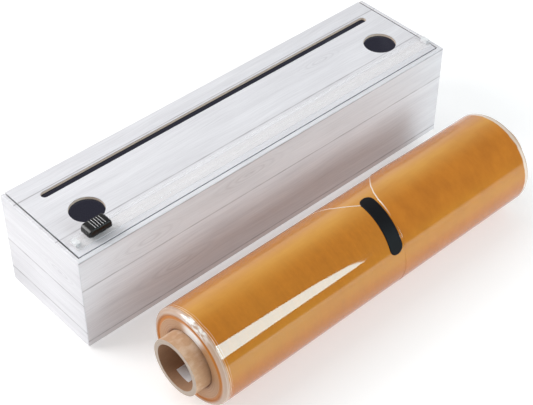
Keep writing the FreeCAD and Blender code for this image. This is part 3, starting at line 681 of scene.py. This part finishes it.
def make_slider_cap():
    """The thumb piece: a block with well rounded ends and ribs across its middle."""
    middle = (cap_low + cap_high) / 2
    length, width = 19.2, 11.2
    base_z = cap_low.z
    bm = bmesh.new()
    height, corner, edge = 5.3, 1.9, 0.8
    side = 14

    def outline(inset):
        r = max(corner - inset, 0.35)
        x, y = length / 2 - inset - r, width / 2 - inset - r
        points = []
        for quarter, (cx, cy) in enumerate([(x, y), (-x, y), (-x, -y), (x, -y)]):
            for i in range(side):
                a = (quarter + i / side) * math.pi / 2
                points.append((cx + r * math.cos(a), cy + r * math.sin(a)))
            nx, ny = [(-x, y), (-x, -y), (x, -y), (x, y)][quarter]
            a = (quarter + 1) * math.pi / 2
            for i in range(side):
                k = i / side
                points.append((cx + (nx - cx) * k + r * math.cos(a), cy + (ny - cy) * k + r * math.sin(a)))
        return points

    def crown(x, y):
        rounding = 3.7 if x < 0 else 2.3
        short = max(0.0, rounding - (length / 2 - abs(x)))
        return height - rounding + math.sqrt(rounding ** 2 - short ** 2) - 0.008 * y * y

    rows = [[bm.verts.new((x, y, z)) for x, y in outline(0.0)] for z in (0.25, 1.1)]
    rows.insert(0, [bm.verts.new((x, y, 0.0)) for x, y in outline(0.25)])
    for inset in (0.03, 0.1, 0.2, 0.34, 0.5, 0.65, 0.8, 1.05, 1.35, 1.7, 2.1, 2.8, 3.6, 4.4, 5.0):
        lift = math.sqrt(max(0.0, 1 - (1 - min(inset / edge, 1.0)) ** 2))
        rows.append([bm.verts.new((x, y, 1.1 + (crown(x, y) - 1.1) * lift)) for x, y in outline(inset)])
    rows_to_faces(bm, rows, closed=True)
    bm.faces.new(rows[-1])
    bm.faces.new(rows[0][::-1])
    bmesh.ops.recalc_face_normals(bm, faces=bm.faces)
    origin = Vector((middle.x, middle.y, base_z))
    piece("cutter_thumb_piece", bm, BLACK, "cutter", ["slider_cap"], origin)
    bm = bmesh.new()
    shift, pitch = 0.8, 2.05
    half_section = [(-0.15, -0.3), (-0.14, 0.05), (-0.08, 0.12)]
    section = half_section + [(0.0, 0.14)] + [(-dx, dz) for dx, dz in reversed(half_section)]
    for i in range(5):
        x = shift + (i - 2) * pitch
        stations = [(-4.35, 0.35), (-4.1, 0.8), (-3.8, 1.0), (0.0, 1.0), (3.8, 1.0), (4.1, 0.8), (4.35, 0.35)]
        rib = []
        for y, scale in stations:
            z = crown(x, y)
            wide = 0.6 + 0.4 * scale
            points = [(x + dx * wide, y, z - 0.02 + dz * (scale if dz > 0 else 1)) for dx, dz in section]
            rib.append([bm.verts.new(point) for point in points])
        rows_to_faces(bm, rib, closed=True)
        bm.faces.new(rib[0][::-1])
        bm.faces.new(rib[-1])
    bmesh.ops.recalc_face_normals(bm, faces=bm.faces)
    # The ribs, in the light grey of their painted highlight.
    piece("cutter_thumb_ribs", bm, RIB_HIGHLIGHT, "cutter", [], origin)


def on_roll(x, degrees, radius):
    """A point on the roll; angles count from its front, over the top."""
    a = math.radians(degrees)
    return (x, -math.cos(a) * radius, math.sin(a) * radius)


def end_profile():
    """Distance in from the roll's end, and radius, from the core over the groove to the shoulder."""
    inner = [(2.2, 21.22), (0.9, 21.3), (0.4, 22.0), (0.1, 23.6), (0.0, 26.0), (0.05, 28.2), (0.25, 29.8)]
    inner += [(0.62, 30.7), (0.85, 31.15), (0.85, 31.5), (0.55, 31.95), (0.33, 32.4)]
    shoulder = []
    for i in range(1, 13):
        a = i * math.pi / 24
        shoulder.append((0.28 + 3.4 * (1 - math.cos(a)), 32.9 + (FILM_R - 32.9) * math.sin(a)))
    return inner + shoulder


def make_wound_film():
    half = 149.5
    profile = [(-half + dx, r) for dx, r in end_profile()]
    start = profile[-1][0]
    profile += [(start + (-2 * start) * i / 96, FILM_R) for i in range(1, 96)]
    profile += [(half - dx, r) for dx, r in reversed(end_profile())]
    around = 240
    bm = bmesh.new()
    rows = []
    for x, r in profile:
        row = []
        for i in range(around):
            degrees = 360 * i / around
            y, z = math.cos(2 * math.pi * i / around), math.sin(2 * math.pi * i / around)
            uneven = noise.noise(Vector((x * 0.02, y * 0.9, z * 0.9))) * 0.06 if r > 33 else 0.0
            row.append(bm.verts.new(on_roll(x, degrees, r + uneven - 0.03)))
        rows.append(row)
    rows_to_faces(bm, rows, closed=True)
    rows_to_faces(bm, [rows[-1], rows[0]], closed=True)
    bmesh.ops.recalc_face_normals(bm, faces=bm.faces)
    piece("wound_film_roll", bm, FILM, "roll", ["wound_film"], ROLL)


def between(stops, value):
    """Straight-line reading of a list of (value, result) pairs."""
    if value <= stops[0][0]:
        return stops[0][1]
    for (a, fa), (b, fb) in zip(stops, stops[1:]):
        if value <= b:
            return fa + (fb - fa) * (value - a) / (b - a)
    return stops[-1][1]


def make_tail():
    """The film's loose last turn over the right half, and the turn below it, whose edge shows beside it."""
    last = 146.2
    upper = [(-30, 17.0), (60, 17.3), (86, 19.7), (97, 22.4), (110, 27.7), (130, 38.9), (150, 52.0)]
    lower = [(-30, 15.6), (80, 15.6), (90, 8.0), (94, 4.6), (103, -2.0), (111, -7.0), (126, -13.0)]
    lower += [(150, -25.0)]
    # Each turn's edge, how far it stands off the roll, how far it puffs up and where its edge can be seen.
    turns = {
        "film_loose_turn": (upper, 0.28, 0.45, [(62, 0.0), (82, 1.0), (112, 1.0), (122, 0.6)]),
        "film_turn_below": (lower, 0.12, 0.0, [(78, 0.0), (84, 1.0), (112, 1.0), (122, 0.6)]),
    }
    for name, (edge, lift, puff, seen) in turns.items():
        bm = bmesh.new()
        outer, inner, marks = [], [], []
        for step in range(91):
            degrees = -30 + 180 * step / 90
            left = between(edge, degrees)
            fade = min(1.0, (150 - degrees) / 4, (degrees + 30) / 4)
            swell = min(max((degrees - 84) / 40, 0.0), 1.0)
            height = between([(0, 0.05), (45, lift)], degrees) if puff else lift
            row, under, mark = [], [], []
            for k in range(64):
                t = (k / 63) ** 1.6
                x = left + (last - left) * t
                from_edge = x - left
                rise = height + 0.4 * height * math.exp(-((from_edge - 0.5) / 0.5) ** 2)
                rise += puff * swell * math.exp(-((from_edge - 12) / 14) ** 2)
                ripple = noise.noise(Vector((x * 0.05, degrees * 0.05, 4.0))) * 0.05 * swell
                rise = height * 0.4 + (rise - height * 0.4) * max(0.0, fade) + ripple * fade
                row.append(on_roll(x, degrees, FILM_R + rise))
                under.append(on_roll(x, degrees, FILM_R - 0.12))
                mark.append((from_edge, between(seen, degrees)))
            outer.append(row)
            inner.append(under)
            marks.append(mark)
        rows = shell(bm, outer, inner)
        layer = bm.loops.layers.uv.new("edge")
        mark_of = {vertex: uv for row, mark in zip(rows, marks + marks) for vertex, uv in zip(row, mark)}
        for face in bm.faces:
            for loop in face.loops:
                loop[layer].uv = mark_of[loop.vert]
        replaced = ["film_tail"] if name == "film_loose_turn" else []
        piece(name, bm, LOOSE, "roll", replaced, ROLL)


def make_label():
    """The blank black label with round ends, set at a slight slant."""
    low, high, width, round_off = 22.7, 98.2, 11.6, 5.2
    bm = bmesh.new()
    outer, inner = [], []
    steps = 72
    arc = math.radians(high - low) * FILM_R
    for step in range(steps + 1):
        t = (1 - math.cos(math.pi * step / steps)) / 2
        degrees = low + (high - low) * t
        from_end = min(t, 1 - t) * arc
        half = width / 2
        if from_end < round_off:
            half += -round_off + math.sqrt(max(0.04, round_off ** 2 - (round_off - from_end) ** 2))
        middle = 9.0 + (degrees - 25) / 70 * 3.5
        columns = [middle + half * (-1 + 2 * k / 10) for k in range(11)]
        outer.append([on_roll(x, degrees, FILM_R + 0.30) for x in columns])
        inner.append([on_roll(x, degrees, FILM_R - 0.05) for x in columns])
    shell(bm, outer, inner)
    piece("film_start_label", bm, LABEL, "roll", ["start_label"], ROLL)


make_lid_cover()
make_hinge()
make_track()
make_slider_cap()
make_wound_film()
make_tail()
make_label()


# ---------------------------------------------------------------- stage, lights and camera


def make_stage():
    floor = bpy.data.meshes.new("floor")
    bm = bmesh.new()
    quad(bm, (-4, -4, 0), (4, -4, 0), (4, 4, 0), (-4, 4, 0))
    bm.to_mesh(floor)
    bm.free()
    s = Shader("pale_floor")
    look = s.finish((0.74, 0.74, 0.74), 0.6, Specular_IOR_Level=0.1, Emission_Color=(1.0, 1.0, 1.0, 1.0),
                    Emission_Strength=0.38)
    floor.materials.append(look)
    thing = bpy.data.objects.new("floor", floor)
    bpy.context.scene.collection.objects.link(thing)


def softbox(name, middle, target, size, watts, colour):
    light = bpy.data.lights.new(name, "AREA")
    light.shape = "RECTANGLE"
    light.size, light.size_y = size
    light.energy = watts
    light.color = colour
    thing = bpy.data.objects.new(name, light)
    thing.location = middle
    thing.rotation_mode = "QUATERNION"
    thing.rotation_quaternion = (Vector(target) - Vector(middle)).to_track_quat("-Z", "Y")
    bpy.context.scene.collection.objects.link(thing)
    return thing


def make_camera():
    data = bpy.data.cameras.new("camera")
    data.sensor_width = 36.0
    data.lens = 88.78
    right = Vector((0.7385988, -0.6741388, 0.0029531))
    down = Vector((-0.4552232, -0.5019723, -0.7353880))
    ahead = Vector((0.4972360, 0.5418124, -0.6776398))
    thing = bpy.data.objects.new("camera", data)
    turn = Matrix((right, -down, -ahead)).transposed().to_4x4()
    thing.matrix_world = Matrix.Translation(BOX + Vector((-0.488091, -0.564588, 0.683556))) @ turn
    bpy.context.scene.collection.objects.link(thing)
    bpy.context.scene.camera = thing


def make_world():
    """A white studio: brightest low down behind the box, dimmer overhead and on the camera's side."""
    world = bpy.data.worlds.new("studio")
    world.use_nodes = True
    nodes, links = world.node_tree.nodes, world.node_tree.links
    split = nodes.new("ShaderNodeSeparateXYZ")
    links.new(nodes.new("ShaderNodeTexCoord").outputs["Generated"], split.inputs[0])

    def calc(operation, a, b, clamp=False):
        node = nodes.new("ShaderNodeMath")
        node.operation = operation
        node.use_clamp = clamp
        for value, socket in ((a, node.inputs[0]), (b, node.inputs[1])):
            if isinstance(value, bpy.types.NodeSocket):
                links.new(value, socket)
            else:
                socket.default_value = value
        return node.outputs[0]

    behind = calc("MAXIMUM", split.outputs[1], 0.0)
    low = calc("SUBTRACT", 1.0, calc("MAXIMUM", split.outputs[2], 0.0))
    glow = calc("MULTIPLY", calc("MULTIPLY", behind, low), 1.9, clamp=True)
    background = nodes["Background"]
    background.inputs[0].default_value = (1, 1, 1, 1)
    links.new(calc("ADD", 0.34, calc("MULTIPLY", glow, 0.68)), background.inputs[1])
    bpy.context.scene.world = world


def panel(name, middle, along, up, corners, colour, strength):
    """A flat bright panel that shows only in reflections."""
    mesh = bpy.data.meshes.new(name)
    bm = bmesh.new()
    quad(bm, *[middle + along * u + up * v for u, v in corners])
    bm.to_mesh(mesh)
    bm.free()
    s = Shader(name + "_light")
    look = s.finish((0.0, 0.0, 0.0), 1.0, Specular_IOR_Level=0.0, Emission_Color=(*colour, 1.0),
                    Emission_Strength=strength)
    mesh.materials.append(look)
    thing = bpy.data.objects.new(name, mesh)
    thing.visible_camera = False
    thing.visible_diffuse = False
    thing.visible_shadow = False
    bpy.context.scene.collection.objects.link(thing)


def make_panels():
    """A window to the front right, which the roll reflects, and a panel at the back left."""
    window = [(0.116, -0.112), (0.094, 0.030), (0.049, 0.135), (-0.115, 0.285), (-0.180, 0.285)]
    window += [(-0.180, -0.180)]
    panel("front_window", BOX + Vector((0.3172, -0.8120, 0.4063)), Vector((0.881, 0.419, -0.220)),
          Vector((0.0, 0.464, 0.886)), window, (0.62, 0.98, 1.06), 8.5)
    ahead = Vector((-0.68, 0.54, 0.50)).normalized()
    along = ahead.cross(Vector((0, 0, 1))).normalized()
    half_u, half_v = 0.20, 0.27
    corners = [(-half_u, -half_v), (half_u, -half_v), (half_u, half_v), (-half_u, half_v)]
    panel("left_panel", BOX + ahead, along, along.cross(ahead), corners, (1.0, 1.0, 1.0), 11.0)


make_stage()
make_camera()
make_world()
make_panels()
bpy.context.scene.view_settings.view_transform = "Standard"
# Each light's place, what it aims at, its size in metres, its power in watts and its colour.
WHITE = (1, 1, 1)
softbox("back_left_key", (-0.75, 0.70, 0.85), (0, 0, 0.05), (0.6, 0.6), 8, WHITE)
softbox("overhead", (-0.10, 0.30, 1.35), (-0.05, 0, 0.05), (0.6, 0.6), 2.6, WHITE)
softbox("front_fill", (0.20, -1.27, 0.68), (0, 0, 0.06), (0.5, 0.5), 5.3, (0.91, 1.0, 1.04))
window_fill = softbox("window_fill", (0.317, -0.755, 0.408), (0, 0, 0.06), (0.3, 0.4), 1.9, (0.86, 1.0, 1.04))
window_fill.visible_glossy = False
